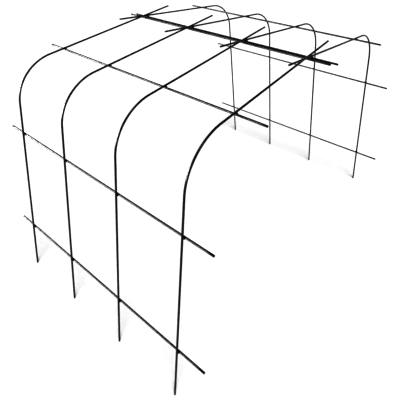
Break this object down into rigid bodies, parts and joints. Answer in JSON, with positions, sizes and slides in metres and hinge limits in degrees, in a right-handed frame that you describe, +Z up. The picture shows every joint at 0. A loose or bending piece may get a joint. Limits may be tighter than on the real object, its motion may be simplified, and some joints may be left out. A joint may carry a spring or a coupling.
{
  "type": "trellis arch",
  "caption": "Free-standing garden trellis arch: two bent halves of black round rod, hoops crossed by straight welded rails, leaning on each other at a ridge.",
  "frame": {"origin": "on the ground, under the ridge and at the middle of the length", "axes": "+X across the tunnel from the front half to the rear half, +Y along the tunnel, +Z up"},
  "size_m": [2.075, 1.4964, 1.3929],
  "materials": {
    "coated_rod": "black powder coat on round steel rod, satin to gloss",
    "coated_weld": "black powder coat over weld beads, a little rougher"
  },
  "bodies": {
    "front_half": {"front_hoop_1": "coated_rod", "front_hoop_2": "coated_rod", "front_hoop_3": "coated_rod", "front_hoop_4": "coated_rod", "front_bottom_rail": "coated_rod", "front_bottom_welds": "coated_weld", "front_middle_rail": "coated_rod", "front_middle_welds": "coated_weld", "front_shoulder_rail": "coated_rod", "front_shoulder_welds": "coated_weld", "front_ridge_rail": "coated_rod", "front_ridge_welds": "coated_weld"},
    "rear_half": {"rear_hoop_1": "coated_rod", "rear_hoop_2": "coated_rod", "rear_hoop_3": "coated_rod", "rear_hoop_4": "coated_rod", "rear_bottom_rail": "coated_rod", "rear_bottom_welds": "coated_weld", "rear_middle_rail": "coated_rod", "rear_middle_welds": "coated_weld", "rear_shoulder_rail": "coated_rod", "rear_shoulder_welds": "coated_weld", "rear_ridge_rail": "coated_rod", "rear_ridge_welds": "coated_weld"}
  },
  "joints": [
    {"name": "ridge_hinge", "type": "hinge", "parent": "front_half", "child": "rear_half", "pos_m": [0, 0, 1.36639], "axis": [0, 1, 0], "range_deg": [-10.5, 60]}
  ]
}
